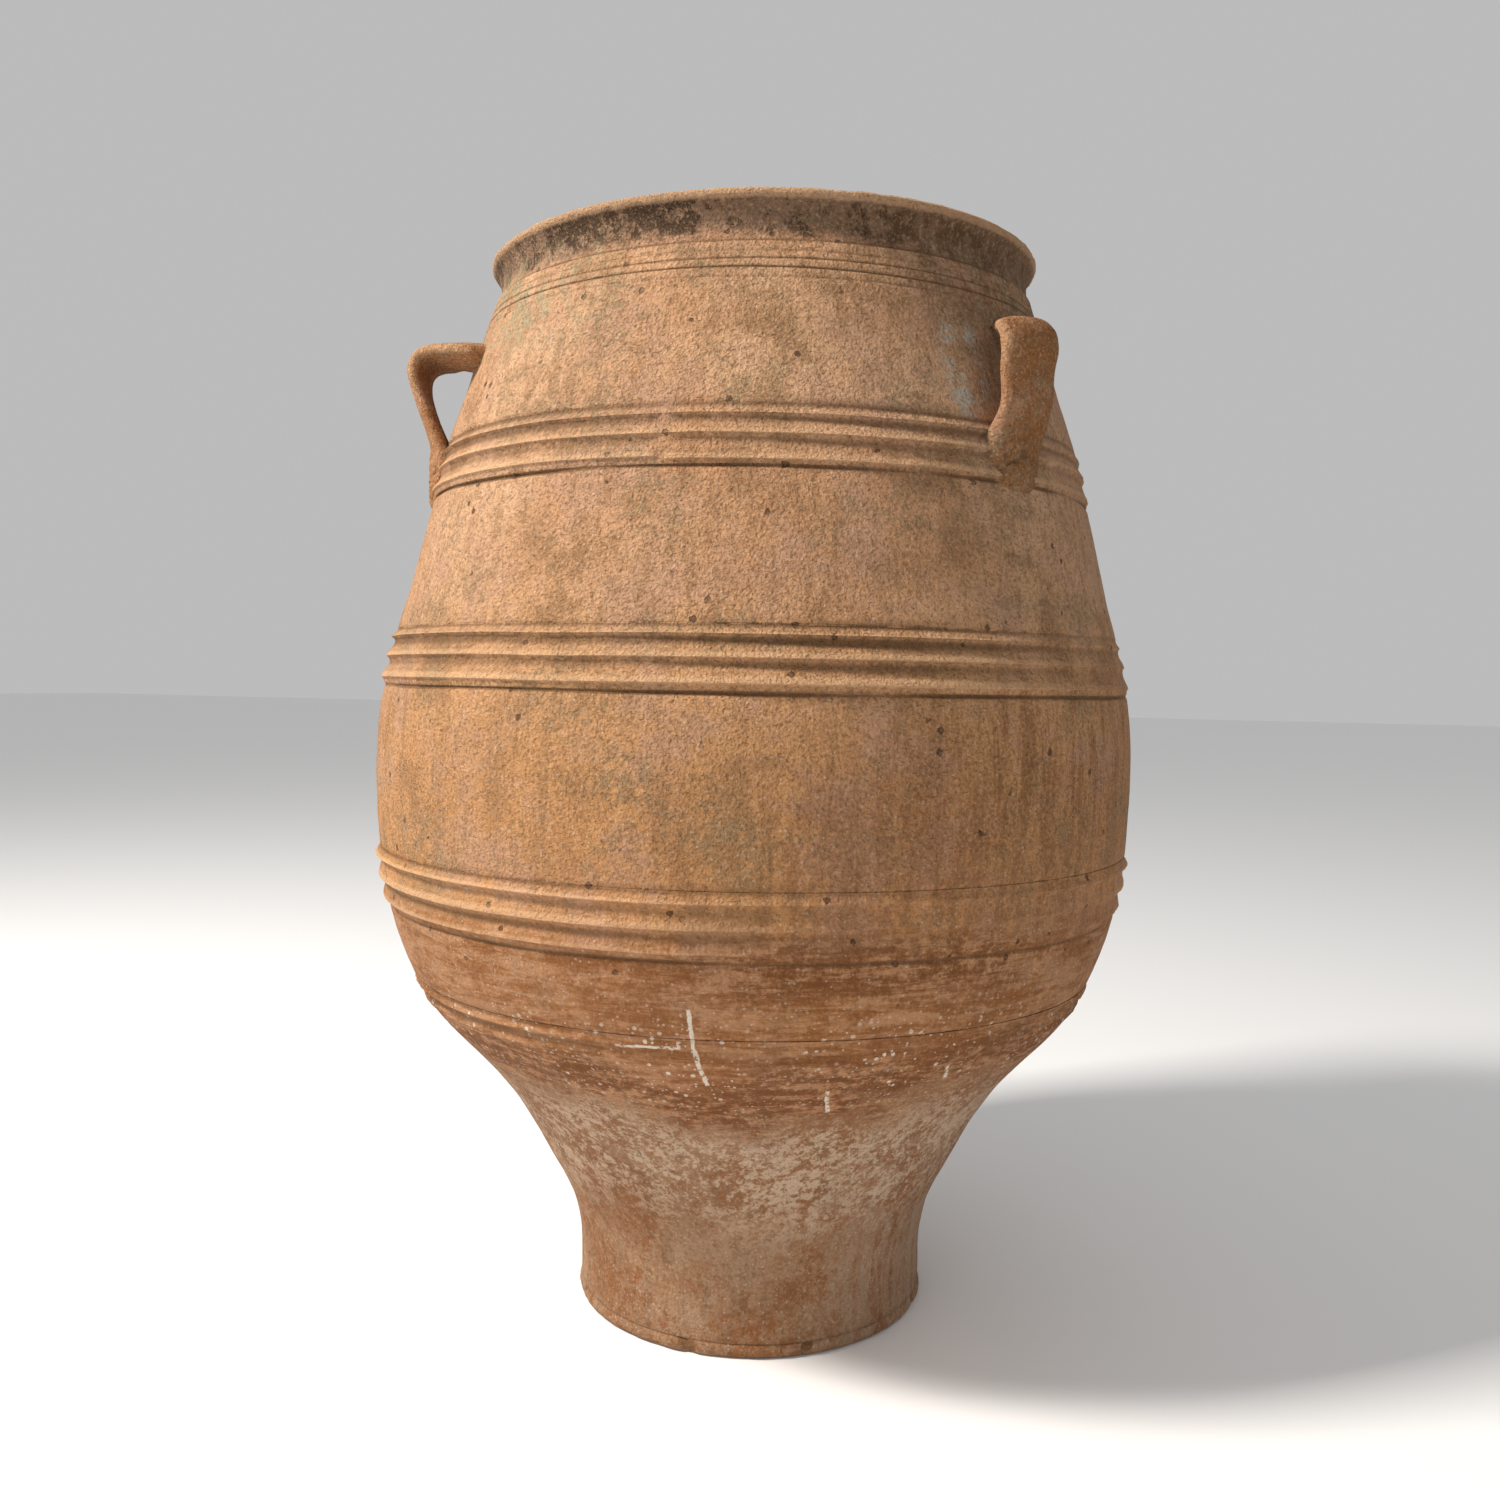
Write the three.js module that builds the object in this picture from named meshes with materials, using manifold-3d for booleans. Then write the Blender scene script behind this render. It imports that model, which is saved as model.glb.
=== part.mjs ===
// A tall storage jar of fired clay (a pithos), in millimetres, +Z up, standing on Z = 0 with its axis on Z.
// It is built as a potter builds one: a base slab, six wall rings raised one on another, a rim ring,
// ridged clay bands pressed over the joints, and three strap handles luted to the shoulder.
// One handle is at +Y and the others are a third of a turn to each side, so -Y is the open front.
import * as THREE from "three";
import { mergeVertices } from "three/addons/utils/BufferGeometryUtils.js";
import Module from "manifold-3d";

const wasm = await Module();
wasm.setup();

// Driving dimensions.
const HEIGHT = 1200;
const WALL_THICKNESS = 22;
const SEAM = 0.3; // gap at a luted joint
const TURN_STEPS = 48; // a multiple of 3 and 4, so that the handles meet the same facets
const WALL_STEP = 46; // height between the stations of a wall outline

const SLAB_THICKNESS = 18;
const SLAB_BEAD_RADIUS = 204.5;
const SLAB_SEAT_RADIUS = 197;

// Outside of the plain wall as [radius, height], from the slab up to the throat under the rim.
const WALL_OUTLINE = [
  [203, 0],
  [203, 60],
  [212.5, 117],
  [242.5, 182],
  [278, 246],
  [334, 314],
  [380, 365],
  [404, 418],
  [423, 490],
  [433.5, 612],
  [430, 700],
  [410.5, 786],
  [378, 922],
  [343, 1038],
  [309.5, 1146],
  [306, 1160],
];

// Heights at which one wall ring ends and the next begins, each but the first two under a band.
const RINGS = [
  { name: "foot_ring", top: 150 },
  { name: "lower_wall_ring", top: 378 },
  { name: "keel_ring", top: 506 },
  { name: "belly_ring", top: 743 },
  { name: "shoulder_ring", top: 950 },
  { name: "neck_ring", top: 1148 },
];

// Bands of clay pressed over the joints. A ridge is [height of its crest, how far it stands off the wall].
const BANDS = [
  { name: "keel_band", low: 361, high: 396, web: 1.4, ridges: [[369, 3.2], [387, 3.6]] },
  { name: "belly_band", low: 474, high: 537, web: 1.6, ridges: [[483, 4.4], [505, 5], [529, 5.2]] },
  { name: "middle_band", low: 714, high: 770, web: 1.6, ridges: [[724, 4.6], [745, 4.2], [764, 3.4]] },
  { name: "shoulder_band", low: 921, high: 977, web: 1.6, ridges: [[931, 5], [951, 4.6], [969, 3.6]] },
];
const RIDGE_CROWN = 7; // width of a ridge's rounded crown
const BAND_EDGE = 1.2; // thickness of a band at its thinned upper and lower edges

// The rim ring's section as [radius, height]: a throat, a flare and a lip with a narrow level top.
const THROAT_RADIUS = 303.5;
const LIP_RADIUS = 311.5;
const RIM_SEAT = [293, 303];

// A strap handle, drawn in a plane through the jar's axis as [distance from the axis, height].
const HANDLE_PATH = [
  [312, 1073],
  [332, 1077],
  [358, 1080],
  [379, 1074],
  [389, 1054],
  [387, 1030],
  [381, 1008],
  [375, 986],
  [373, 964],
  [374, 942],
  [376, 922],
];
// The strap's root is narrower than the rest and set over anticlockwise, and its foot is a little wider.
const STRAP = { width: 72, thickness: 17, rootNarrowing: 0.15, rootSkew: 26, footWidening: 0.1 };
const HANDLES = { handle_rear: 90, handle_left: 210, handle_right: 330 };

const wallCurve = new THREE.CatmullRomCurve3(
  WALL_OUTLINE.map(([radius, height]) => new THREE.Vector3(radius, 0, height)),
  false,
  "centripetal",
);
const wallSamples = wallCurve.getPoints(600);

// Outside radius of the plain wall at a height.
function wallRadius(height) {
  const next = wallSamples.findIndex((point) => point.z >= height);
  if (next <= 0) return wallSamples[0].x;
  const [below, above] = [wallSamples[next - 1], wallSamples[next]];
  return THREE.MathUtils.mapLinear(height, below.z, above.z, below.x, above.x);
}

// Inside radius: the wall keeps its thickness square to its own surface.
function innerRadius(height) {
  const reach = 4;
  const slope = (wallRadius(height + reach) - wallRadius(height - reach)) / (2 * reach);
  return wallRadius(height) - WALL_THICKNESS * Math.hypot(1, slope);
}

// Turns a section, a list of [radius, height] that runs anticlockwise, round the jar's axis.
function turned(section, closed = true) {
  const points = section.map(([radius, height]) => new THREE.Vector2(radius, height));
  if (closed) points.push(points[0].clone());
  return new THREE.LatheGeometry(points, TURN_STEPS).rotateX(Math.PI / 2);
}

function solidOf(geometry) {
  const bare = geometry.clone().deleteAttribute("normal").deleteAttribute("uv");
  const merged = mergeVertices(bare, 1e-3);
  return new wasm.Manifold(
    new wasm.Mesh({
      numProp: 3,
      vertProperties: merged.attributes.position.array,
      triVerts: new Uint32Array(merged.index.array),
    }),
  );
}

function geometryOf(solid) {
  const mesh = solid.getMesh();
  const positions = new THREE.BufferAttribute(new Float32Array(mesh.vertProperties), 3);
  const geometry = new THREE.BufferGeometry().setAttribute("position", positions);
  geometry.setIndex(new THREE.BufferAttribute(new Uint32Array(mesh.triVerts), 1));
  geometry.computeVertexNormals();
  return geometry;
}

const clays = {
  wall: new THREE.MeshStandardMaterial({ color: 0xb98560, roughness: 0.93, metalness: 0 }),
  foot: new THREE.MeshStandardMaterial({ color: 0xa57756, roughness: 0.94, metalness: 0 }),
  rim: new THREE.MeshStandardMaterial({ color: 0x9c7560, roughness: 0.95, metalness: 0 }),
  band: new THREE.MeshStandardMaterial({ color: 0xbd8a62, roughness: 0.92, metalness: 0 }),
  handle: new THREE.MeshStandardMaterial({ color: 0xa9714c, roughness: 0.9, metalness: 0 }),
};

const jar = new THREE.Group();

function addPiece(name, geometry, clay) {
  const piece = new THREE.Mesh(geometry, clay);
  piece.name = name;
  jar.add(piece);
  return piece;
}

function baseSlab() {
  const bulge = SLAB_BEAD_RADIUS;
  const section = [
    [0, 0],
    [SLAB_SEAT_RADIUS, 0],
    [bulge - 2.5, 3],
    [bulge, 9],
    [bulge - 2.5, 15],
    [wallRadius(SLAB_THICKNESS) - 3, SLAB_THICKNESS],
    [0, SLAB_THICKNESS],
  ];
  return turned(section, false);
}

// Evenly spaced heights from bottom to top, both included.
function stations(bottom, top, step) {
  const count = Math.ceil((top - bottom) / step);
  return Array.from({ length: count + 1 }, (_, i) => bottom + ((top - bottom) * i) / count);
}

function wallRing(bottom, top) {
  const heights = stations(bottom + SEAM, top, WALL_STEP);
  const outside = heights.map((height) => [wallRadius(height), height]);
  const inside = heights.map((height) => [innerRadius(height), height]);
  return turned([...outside, ...inside.reverse()]);
}

function rimRing(bottom) {
  const inside = THROAT_RADIUS - WALL_THICKNESS;
  return turned([
    [wallRadius(bottom), bottom + SEAM],
    [THROAT_RADIUS, bottom + 16],
    [THROAT_RADIUS, bottom + 26],
    [LIP_RADIUS - 4, bottom + 36],
    [LIP_RADIUS, bottom + 44],
    [LIP_RADIUS - 2, bottom + 50],
    [RIM_SEAT[1], HEIGHT],
    [RIM_SEAT[0], HEIGHT],
    [RIM_SEAT[0] - 4, bottom + 47],
    [inside, bottom + 28],
    [innerRadius(bottom), bottom + SEAM],
  ]);
}

// How far the outside of a band stands off the wall, as [height, standoff] from its lower edge up.
function bandRelief({ low, high, web, ridges }) {
  const relief = [[low, BAND_EDGE]];
  ridges.forEach(([crest, standoff], i) => {
    if (i > 0) relief.push([(ridges[i - 1][0] + crest) / 2, web]);
    relief.push([crest - RIDGE_CROWN / 2, standoff]);
    relief.push([crest + RIDGE_CROWN / 2, standoff]);
  });
  relief.push([high, BAND_EDGE]);
  return relief;
}

function bandOutline(band, extra = 0) {
  return bandRelief(band).map(([height, standoff]) => [
    wallRadius(height) + standoff + extra,
    height,
  ]);
}

// A band's back follows the facets of the wall ring that it is pressed on, a seam away.
function ringStations() {
  let bottom = SLAB_THICKNESS;
  return RINGS.flatMap(({ top }) => {
    const heights = stations(bottom + SEAM, top, WALL_STEP);
    bottom = top;
    return heights;
  });
}

function facetRadius(height) {
  const heights = ringStations();
  const above = heights.find((station) => station >= height);
  const below = heights.findLast((station) => station <= height);
  if (above === below) return wallRadius(height);
  return THREE.MathUtils.mapLinear(height, below, above, wallRadius(below), wallRadius(above));
}

function clayBand(band) {
  const between = ringStations().filter((height) => height > band.low && height < band.high);
  const back = [band.low, ...between, band.high].map((height) => [
    facetRadius(height) + SEAM,
    height,
  ]);
  return turned([...bandOutline(band), ...back.reverse()]);
}

// Everything that a handle is pressed on to, grown by a seam, as one solid plug.
function jarPlug() {
  const band = BANDS.find(({ name }) => name === "shoulder_band");
  const lowest = 800;
  const bare = ringStations().filter(
    (height) => height > lowest && (height < band.low || height > band.high),
  );
  const wall = bare.map((height) => [facetRadius(height) + SEAM, height]);
  const outline = [...wall, ...bandOutline(band, SEAM)].sort((a, b) => a[1] - b[1]);
  const top = outline.at(-1)[1];
  return solidOf(turned([[0, lowest], [wallRadius(lowest), lowest], ...outline, [0, top]], false));
}

// A strap of oval section that follows HANDLE_PATH and spreads at its two ends.
function strap() {
  const path = new THREE.CatmullRomCurve3(
    HANDLE_PATH.map(([distance, height]) => new THREE.Vector3(distance, 0, height)),
    false,
    "centripetal",
  );
  const section = new THREE.Shape().absellipse(
    0, 0, STRAP.width / 2, STRAP.thickness / 2, 0, 2 * Math.PI,
  );
  const geometry = new THREE.ExtrudeGeometry(section, {
    steps: 18,
    curveSegments: 7,
    extrudePath: path,
  });
  const [arch, foot] = [1045, 950];
  const { smoothstep } = THREE.MathUtils;
  const position = geometry.attributes.position;
  for (let i = 0; i < position.count; i += 1) {
    const height = position.getZ(i);
    const root = smoothstep(height, arch - 15, arch) * (1 - smoothstep(position.getX(i), 335, 382));
    const spread = STRAP.footWidening * (1 - smoothstep(height, HANDLE_PATH.at(-1)[1], foot));
    const width = 1 - STRAP.rootNarrowing * root + spread;
    position.setY(i, position.getY(i) * width + STRAP.rootSkew * root);
  }
  return solidOf(geometry);
}

addPiece("base_slab", baseSlab(), clays.foot);

let ringBottom = SLAB_THICKNESS;
for (const { name, top } of RINGS) {
  const clay = top <= RINGS[1].top ? clays.foot : clays.wall;
  addPiece(name, wallRing(ringBottom, top), clay);
  ringBottom = top;
}
addPiece("rim_ring", rimRing(ringBottom), clays.rim);

for (const band of BANDS) addPiece(band.name, clayBand(band), clays.band);

const handle = geometryOf(strap().subtract(jarPlug()));
for (const [name, azimuth] of Object.entries(HANDLES)) {
  addPiece(name, handle, clays.handle).rotation.z = THREE.MathUtils.degToRad(azimuth);
}

export default jar;
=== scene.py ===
"""A tall hand-built storage jar of fired clay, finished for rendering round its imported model."""

import bisect
import math

import bmesh
import bpy
from mathutils import Euler, Matrix, Vector, noise


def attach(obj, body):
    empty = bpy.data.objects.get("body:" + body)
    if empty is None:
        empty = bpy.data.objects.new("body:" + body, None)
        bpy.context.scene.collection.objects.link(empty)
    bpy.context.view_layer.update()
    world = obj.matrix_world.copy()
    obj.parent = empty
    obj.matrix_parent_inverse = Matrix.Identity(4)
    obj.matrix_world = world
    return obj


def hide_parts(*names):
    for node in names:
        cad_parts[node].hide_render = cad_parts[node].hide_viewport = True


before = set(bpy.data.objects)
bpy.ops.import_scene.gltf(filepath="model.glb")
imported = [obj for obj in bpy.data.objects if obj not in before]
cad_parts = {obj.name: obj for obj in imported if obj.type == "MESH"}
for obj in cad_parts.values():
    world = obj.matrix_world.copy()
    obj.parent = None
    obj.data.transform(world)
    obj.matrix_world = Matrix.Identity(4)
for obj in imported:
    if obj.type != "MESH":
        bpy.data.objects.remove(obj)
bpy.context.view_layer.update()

MM = 0.001

# The way the jar is looked at: round its axis from -Y towards +X.
VIEW_TURN = math.radians(18)
VIEW_DISTANCE = 1.618
VIEW_HEIGHT = 0.728
VIEW_PITCH = math.radians(-3.0)
VIEW_ROLL = math.radians(0.948)
VIEW_YAW = math.radians(0.25)
VIEW_LENS = 32.54
FACING_RIGHT = Vector((math.cos(VIEW_TURN), math.sin(VIEW_TURN), 0))
FACING_AWAY = Vector((-math.sin(VIEW_TURN), math.cos(VIEW_TURN), 0))

# Sizes in millimetres. Outside of the plain wall as (height, radius).
WALL_THICKNESS = 22
WALL_STATIONS = [
    (0, 203),
    (60, 203),
    (82, 204.8),
    (117, 212),
    (151, 226),
    (182, 242.5),
    (214, 259),
    (246, 278.5),
    (282, 304.5),
    (314, 333),
    (343, 360),
    (368, 379.5),
    (401, 395.5),
    (442, 411.5),
    (490, 423.5),
    (545, 430.5),
    (612, 433.5),
    (654, 433),
    (697, 429.5),
    (740, 421.5),
    (784, 411),
    (821, 400.5),
    (867, 389.5),
    (922, 376),
    (985, 360.5),
    (1040, 342),
    (1104, 322.5),
    (1148, 309),
]
SLAB_TOP = 17
FOOT_CLAY_TOP = 378
WALL_RINGS = [
    ("foot_ring", SLAB_TOP, 150),
    ("lower_wall_ring", 150, FOOT_CLAY_TOP),
    ("keel_ring", FOOT_CLAY_TOP, 506),
    ("belly_ring", 506, 743),
    ("shoulder_ring", 743, 950),
    ("neck_ring", 950, 1148),
]
TURN_STEPS = 432
BAND_TURN_STEPS = 640
ROW = 7
WEAR_AND_PAINTED_LIGHT = "wear_and_painted_light"  # a mesh attribute: 1 on rubbed edges, also a painted highlight, -1 in hollows that hold dirt, also painted shade

# Bands: lower and upper edge, then each ridge as (height of its crest, how far it stands off the wall).
BANDS = {
    "keel_band": (363, 396, [(369, 3.2), (387, 3.6)]),
    "belly_band": (475, 539, [(482, 4.4), (505, 5.6), (529, 6.2)]),
    "middle_band": (717, 778, [(724, 5.6), (747, 5.2), (768, 4.2)]),
    "shoulder_band": (924, 982, [(931, 5.4), (953, 5.2), (972, 3.8)]),
}
SCOOP = 5.5  # depth of the channel that a finger draws between two ridges
SCOOP_LEVEL = 4.79  # brings the deepest part of a channel to 1
BACK = 7.5  # how deep a band's back is sunk in the wall
BAND_ROW = 1.5
BAND_LUMPS = [(55, 0.8), (160, 0.6)]


def through(stations):
    """A smooth curve through (height, radius) stations, as a function of the height."""
    heights = [height for height, _ in stations]
    radii = [radius for _, radius in stations]
    last = len(stations) - 1

    def slope(i):
        low, high = max(i - 1, 0), min(i + 1, last)
        return (radii[high] - radii[low]) / (heights[high] - heights[low])

    def radius(height):
        i = min(max(bisect.bisect_right(heights, height) - 1, 0), last - 1)
        span = heights[i + 1] - heights[i]
        t = (height - heights[i]) / span
        return (
            radii[i] * (1 + 2 * t) * (1 - t) ** 2
            + radii[i + 1] * t * t * (3 - 2 * t)
            + slope(i) * span * t * (1 - t) ** 2
            - slope(i + 1) * span * t * t * (1 - t)
        )

    return radius


wall_radius = through(WALL_STATIONS)


def inner_radius(height):
    """Inside of the wall: its thickness is kept square to its own surface."""
    reach = 4
    lean = (wall_radius(height + reach) - wall_radius(height - reach)) / (2 * reach)
    return wall_radius(height) - WALL_THICKNESS * math.hypot(1, lean)


def rise(value, low, high):
    """0 at low and 1 at high, smooth between and level beyond; low may be the greater."""
    t = min(max((value - low) / (high - low), 0), 1)
    return t * t * (3 - 2 * t)


def hump(value, centre, reach):
    """1 at the centre, falling smoothly to 0 at reach on both sides."""
    return 1 - rise(abs(value - centre), 0, reach)


def waver(turn, height, seed, size=1.0):
    """Slow noise round the jar, between about -1 and 1, that closes on itself."""
    return noise.noise(Vector((math.cos(turn) * size, math.sin(turn) * size, seed + height)))


def lumps(place, layers):
    """Lumps of several sizes, each layer as (how fine it is, how deep in millimetres)."""
    return sum(depth * noise.noise(place * fineness) for fineness, depth in layers)


def spaced(low, high, step):
    count = max(1, math.ceil((high - low) / step))
    return [low + (high - low) * i / count for i in range(count + 1)]


# How the wet clay moved. Every piece goes through this, so that joined pieces stay joined.
BELLY_LEAN = -3.2
FOOT_LEAN = 3.0
# Slow waves in the wall: how deep, how fast they change with height, a seed, and how fast round the jar.
OUT_OF_ROUND = [(2.6, 0.0016, 3.1, 1.1), (1.1, 0.006, 9.4, 2.6)]
THROWN_RINGS = [(0.45, 0.045, 20.7, 0.5)]
RIM_TILT = FACING_RIGHT * 0.0145 + FACING_AWAY * 0.014
RIM_SETTLE = 2.0
RIM_FROM, RIM_TO = 1085, 1180


def waves(turn, height, layers):
    return sum(depth * waver(turn, height * pace, seed, size) for depth, pace, seed, size in layers)


def slumped(point):
    """Moves a point of the true turned shape, in metres, to where the drying clay left it."""
    height = point.z / MM
    turn = math.atan2(point.y, point.x)
    lean = BELLY_LEAN * hump(height, 610, 430) + FOOT_LEAN * (1 - rise(height, 40, 330))
    out_of_round = waves(turn, height, OUT_OF_ROUND) * rise(height, 0, 60)
    thrown = waves(turn, height, THROWN_RINGS)
    moved = point + FACING_RIGHT * lean * MM
    reach = max(point.xy.length, 0.05)
    outward = Vector((point.x / reach, point.y / reach, 0))
    moved += outward * (out_of_round + thrown) * MM
    moved.z += (point.dot(RIM_TILT) - RIM_SETTLE * MM) * rise(height, RIM_FROM, RIM_TO)
    return moved


def close_up(bm):
    bmesh.ops.remove_doubles(bm, verts=bm.verts, dist=1e-6)
    bmesh.ops.recalc_face_normals(bm, faces=bm.faces)


CREASE = math.radians(38)


def piece(name, bm, clay):
    """Makes an object of a finished bmesh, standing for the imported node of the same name."""
    for vert in bm.verts:
        vert.co = slumped(vert.co)
    mesh = bpy.data.meshes.new(name)
    bm.to_mesh(mesh)
    bm.free()
    mesh.shade_smooth()
    mesh.set_sharp_from_angle(angle=CREASE)
    made = bpy.data.objects.new(f"{name}_clay", mesh)
    bpy.context.collection.objects.link(made)
    made.data.materials.append(clay)
    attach(made, "root")
    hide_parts(name)
    return made


def turned(section, steps=TURN_STEPS, closed=True):
    """Turns a section of (height, radius) points round the jar's axis."""
    bm = bmesh.new()
    points = [bm.verts.new((radius * MM, 0, height * MM)) for height, radius in section]
    ends = zip(points, points[1:] + points[:1]) if closed else zip(points, points[1:])
    edges = [bm.edges.new(pair) for pair in ends]
    bmesh.ops.spin(
        bm,
        geom=points + edges,
        cent=(0, 0, 0),
        axis=(0, 0, 1),
        angle=math.tau,
        steps=steps,
        use_merge=True,
    )
    close_up(bm)
    return bm


# Lines scored into the soft wall: (height, depth, how far it wanders up and down).
SCORED_LINES = [(1128, 1.2, 1.6), (1119, 1.5, 2.2), (1137, 0.7, 1.2), (1108, 0.7, 2.6)]
SCORE_WIDTH = 1.2
SCORE_REACH = 6
UNDERCUTS = [(922, 3.4), (715, 2.6), (473, 1.6)]
UNDERCUT_WIDTH = 2.0
UNDERCUT_REACH = 10
DIRT_AND_SHADE_DEPTH = 1.6  # a hollow this deep is fully darkened, with dirt and painted shade
RECESS = 4.5  # how far the wall stays back behind a band
WALL_LUMPS = [(30, 0.5), (85, 0.3)]


def worked_wall(bm):
    """Scores the neck and digs in the wall under each band's lower edge."""
    wear_and_painted_light = bm.verts.layers.float.new(WEAR_AND_PAINTED_LIGHT)
    for vert in bm.verts:
        height = vert.co.z / MM
        radius = vert.co.xy.length / MM
        if radius < wall_radius(height) - 2:
            continue
        turn = math.atan2(vert.co.y, vert.co.x)
        dig = 0
        for line, depth, wander in SCORED_LINES:
            if abs(height - line) < SCORE_REACH:
                off = height - line - wander * waver(turn, line, 0.5, 1.2)
                dig += depth * math.exp(-((off / SCORE_WIDTH) ** 2))
        for edge, depth in UNDERCUTS:
            if abs(height - edge) < UNDERCUT_REACH:
                off = height - edge - 1.2 * waver(turn, edge, 4.5, 3)
                broken = 0.75 + 0.8 * waver(turn, edge, 8.5, 4)
                dig += depth * math.exp(-((off / UNDERCUT_WIDTH) ** 2)) * broken
        # Scored lines, undercuts and the wall's foot at the slab are marked for dirt and painted shade.
        vert[wear_and_painted_light] = -min(dig / DIRT_AND_SHADE_DEPTH + 0.5 * hump(height, SLAB_TOP, 4), 1)
        for low, high, _ in BANDS.values():
            if low < height < high:
                dig += RECESS * rise(height, low + 2, low + 5) * rise(height, high - 2, high - 5)
        dig += lumps(vert.co, WALL_LUMPS)
        vert.co.xy *= (radius - dig) / radius


def wall_heights(low, high):
    fine = [h for line, _, _ in SCORED_LINES for h in spaced(line - 4, line + 4, 1)]
    fine += [h for edge, _ in UNDERCUTS for h in spaced(edge - 6, edge + 6, 1)]
    inside = {round(h, 2) for h in fine if low + 1 < h < high - 1}
    coarse = [h for h in spaced(low, high, ROW) if all(abs(h - f) > 1 for f in inside)]
    return sorted(inside | set(coarse) | {low, high})


def wall_ring(name, low, high, clay, slot):
    outside = [(h, wall_radius(h)) for h in wall_heights(low, high)]
    inside = [(h, inner_radius(h)) for h in spaced(low, high, 2 * ROW)]
    bm = turned(outside + inside[::-1])
    worked_wall(bm)
    return piece(name, bm, clay)


def ridge_relief(height, low, high, ridges):
    """How far a band stands off the wall: sharp crests, and channels deepest just under each crest."""
    crests = [(low, 0.0), *ridges, (high, 0.2)]
    for (below, off_below), (above, off_above) in zip(crests, crests[1:]):
        if below <= height <= above:
            t = (height - below) / (above - below)
            chord = off_below * (1 - t) + off_above * t
            scoop = t**1.7 * (1 - t) ** 0.8 * SCOOP_LEVEL
            return chord - SCOOP * scoop * min(1, (above - below) / 20) ** 1.5
    return 0


def pressed_home(name, seen):
    """How fully a band stands out where a thumb pressed it, at a turn from the view in degrees."""
    turn = math.radians(seen)
    steady = 0.95 + 0.3 * waver(turn, 0, len(name), 1.4)
    if name == "keel_band":
        return steady * (0.9 - 0.72 * hump(seen, 16, 80))
    if name == "belly_band":
        return steady * (1 - 0.68 * hump(seen, 36, 66))
    if name == "shoulder_band":
        return steady * (1 - 0.5 * hump(seen, BREAK_TURN, 1.6)) * (1 - 0.4 * hump(seen, 75, 45))
    return steady * (1 - 0.4 * hump(seen, 60, 48))


# Where the lowest ridge of the shoulder band was broken and laid on again, a little lower.
BREAK_TURN = -14.3
BREAK_DROP = 2.4


def clay_band(name, low, high, ridges, clay):
    """A ridged band pressed on the wall, its back sunk in the wall."""
    rows = sorted({round(h, 2) for h in spaced(low, high, BAND_ROW)} | {h for h, _ in ridges})
    outside = [(h, wall_radius(h) + ridge_relief(h, low, high, ridges)) for h in rows]
    back = [(h, wall_radius(h) - BACK) for h in (high, (low + high) / 2, low)]
    bm = turned(outside + back, BAND_TURN_STEPS)
    wear_and_painted_light = bm.verts.layers.float.new(WEAR_AND_PAINTED_LIGHT)
    for vert in bm.verts:
        height = vert.co.z / MM
        radius = vert.co.xy.length / MM
        off = radius - wall_radius(height)
        if off < 0.5 - BACK:
            continue
        turn = math.atan2(vert.co.y, vert.co.x)
        seen = math.degrees(math.remainder(turn + math.pi / 2 - VIEW_TURN, math.tau))
        pressed = pressed_home(name, seen)
        # Crests are marked for rubbing and a painted highlight, channels for dirt and painted shade.
        vert[wear_and_painted_light] = min(max((off - 1.6) / 3.0, -1), 1) * pressed
        off = off * pressed + lumps(vert.co, BAND_LUMPS) * rise(off, -1, 4)
        vert.co.xy *= (wall_radius(height) + off) / radius
        drift = 1.7 * waver(turn, low, 1.5, 1.3) + 0.8 * waver(turn, low, 6.5, 5)
        if name == "shoulder_band":
            drift -= BREAK_DROP * rise(seen, BREAK_TURN - 0.5, BREAK_TURN + 0.3) * rise(height, 944, 936)
        vert.co.z += drift * MM * rise(height, low - 1, low + 6) * rise(height, high + 1, high - 6)
    return piece(name, bm, clay)


# The base slab's section as (height, radius): out along its underside, round its bead and back in.
SLAB_UNDERSIDE = [(0, 0), (0, 120), (0, 190), (0.4, 196), (1.5, 200.4)]
SLAB_BEAD = [(4, 203.2), (7, 204.4), (10, 204.6), (13, 204), (15.4, 202.4), (17, 201.4)]
SLAB_UPPER_FACE = [(17.6, 190), (18, 120), (18, 0)]
SLAB_LUMPS = [(30, 0.9), (90, 0.6)]
CHIP_DEPTH = 2.6


def base_slab(clay):
    """The slab that closes the foot, its edge chipped where the jar has been walked about."""
    section = SLAB_UNDERSIDE + SLAB_BEAD + SLAB_UPPER_FACE
    bm = turned(section, BAND_TURN_STEPS, closed=False)
    wear_and_painted_light = bm.verts.layers.float.new(WEAR_AND_PAINTED_LIGHT)
    for vert in bm.verts:
        radius = vert.co.xy.length / MM
        if radius > 194:
            chip = rise(noise.noise(vert.co * 42 + Vector((0, 0, 5))), 0.28, 0.42)
            vert.co.xy *= (radius + lumps(vert.co, SLAB_LUMPS) - CHIP_DEPTH * chip) / radius
            # Chips and the bead's top by the wall are marked for dirt and painted shade, the rest of the
            # bead for rubbing and a painted highlight.
            vert[wear_and_painted_light] = 0.4 - 1.2 * chip - rise(vert.co.z / MM, 13, 17)
    return piece("base_slab", bm, clay)


# The rim's section as (height, radius): up the outside, over the lip and down the inside.
RIM_OUTSIDE = [
    (1148, 309),
    (1149.5, 306.6),
    (1154, 304.6),
    (1162, 303),
    (1170, 302.6),
    (1177, 303.6),
    (1183, 305.8),
    (1188, 309),
    (1191, 311.8),
    (1193, 313),
    (1196.5, 312.6),
    (1199, 309.5),
    (1200, 304),
]
RIM_INSIDE = [(1199, 297), (1196, 293), (1190, 289.5), (1180, 285), (1168, 282.5), (1157, 284)]
RIM_STEP = 2.6
RIM_LUMPS = [(34, 0.6), (120, 0.6)]
# How the lip's edge goes up and down: how far, a seed, and how fast round the jar.
LIP_WAVES = [(0.9, 2.2, 6), (0.9, 7.2, 18)]


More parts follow.
